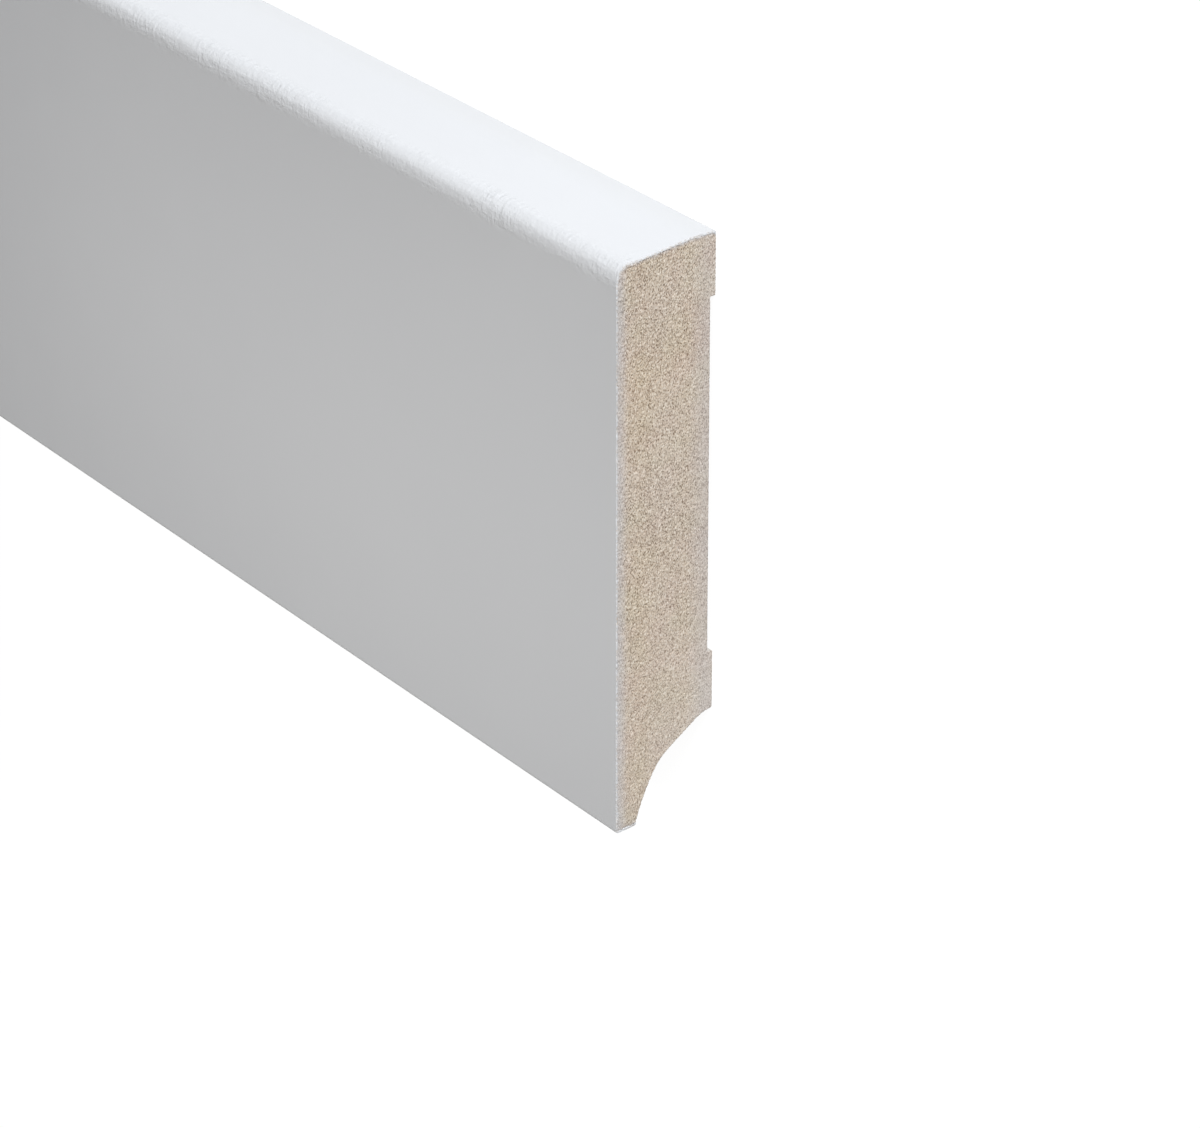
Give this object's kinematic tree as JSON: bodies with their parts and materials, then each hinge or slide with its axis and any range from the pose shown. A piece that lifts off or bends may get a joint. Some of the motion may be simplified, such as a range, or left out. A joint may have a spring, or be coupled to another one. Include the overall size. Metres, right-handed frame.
{
  "type": "skirting board length",
  "caption": "Straight length of white-faced MDF skirting board with a rounded top edge, relieved back and a cable channel behind its foot.",
  "frame": {"origin": "under the middle of the board's length and height, on the plane of the two lands that sit against the wall", "axes": "+X along the board, +Y from the foot to the top edge, +Z out of the front face; the board lies on its back"},
  "size_m": [2.4, 0.08, 0.015],
  "materials": {
    "skirting_board": "satin white lacquer on the face, foot and top edge, bare MDF on the back and the sawn ends"
  },
  "bodies": {
    "root": {"skirting_board": "skirting_board"}
  },
  "joints": []
}
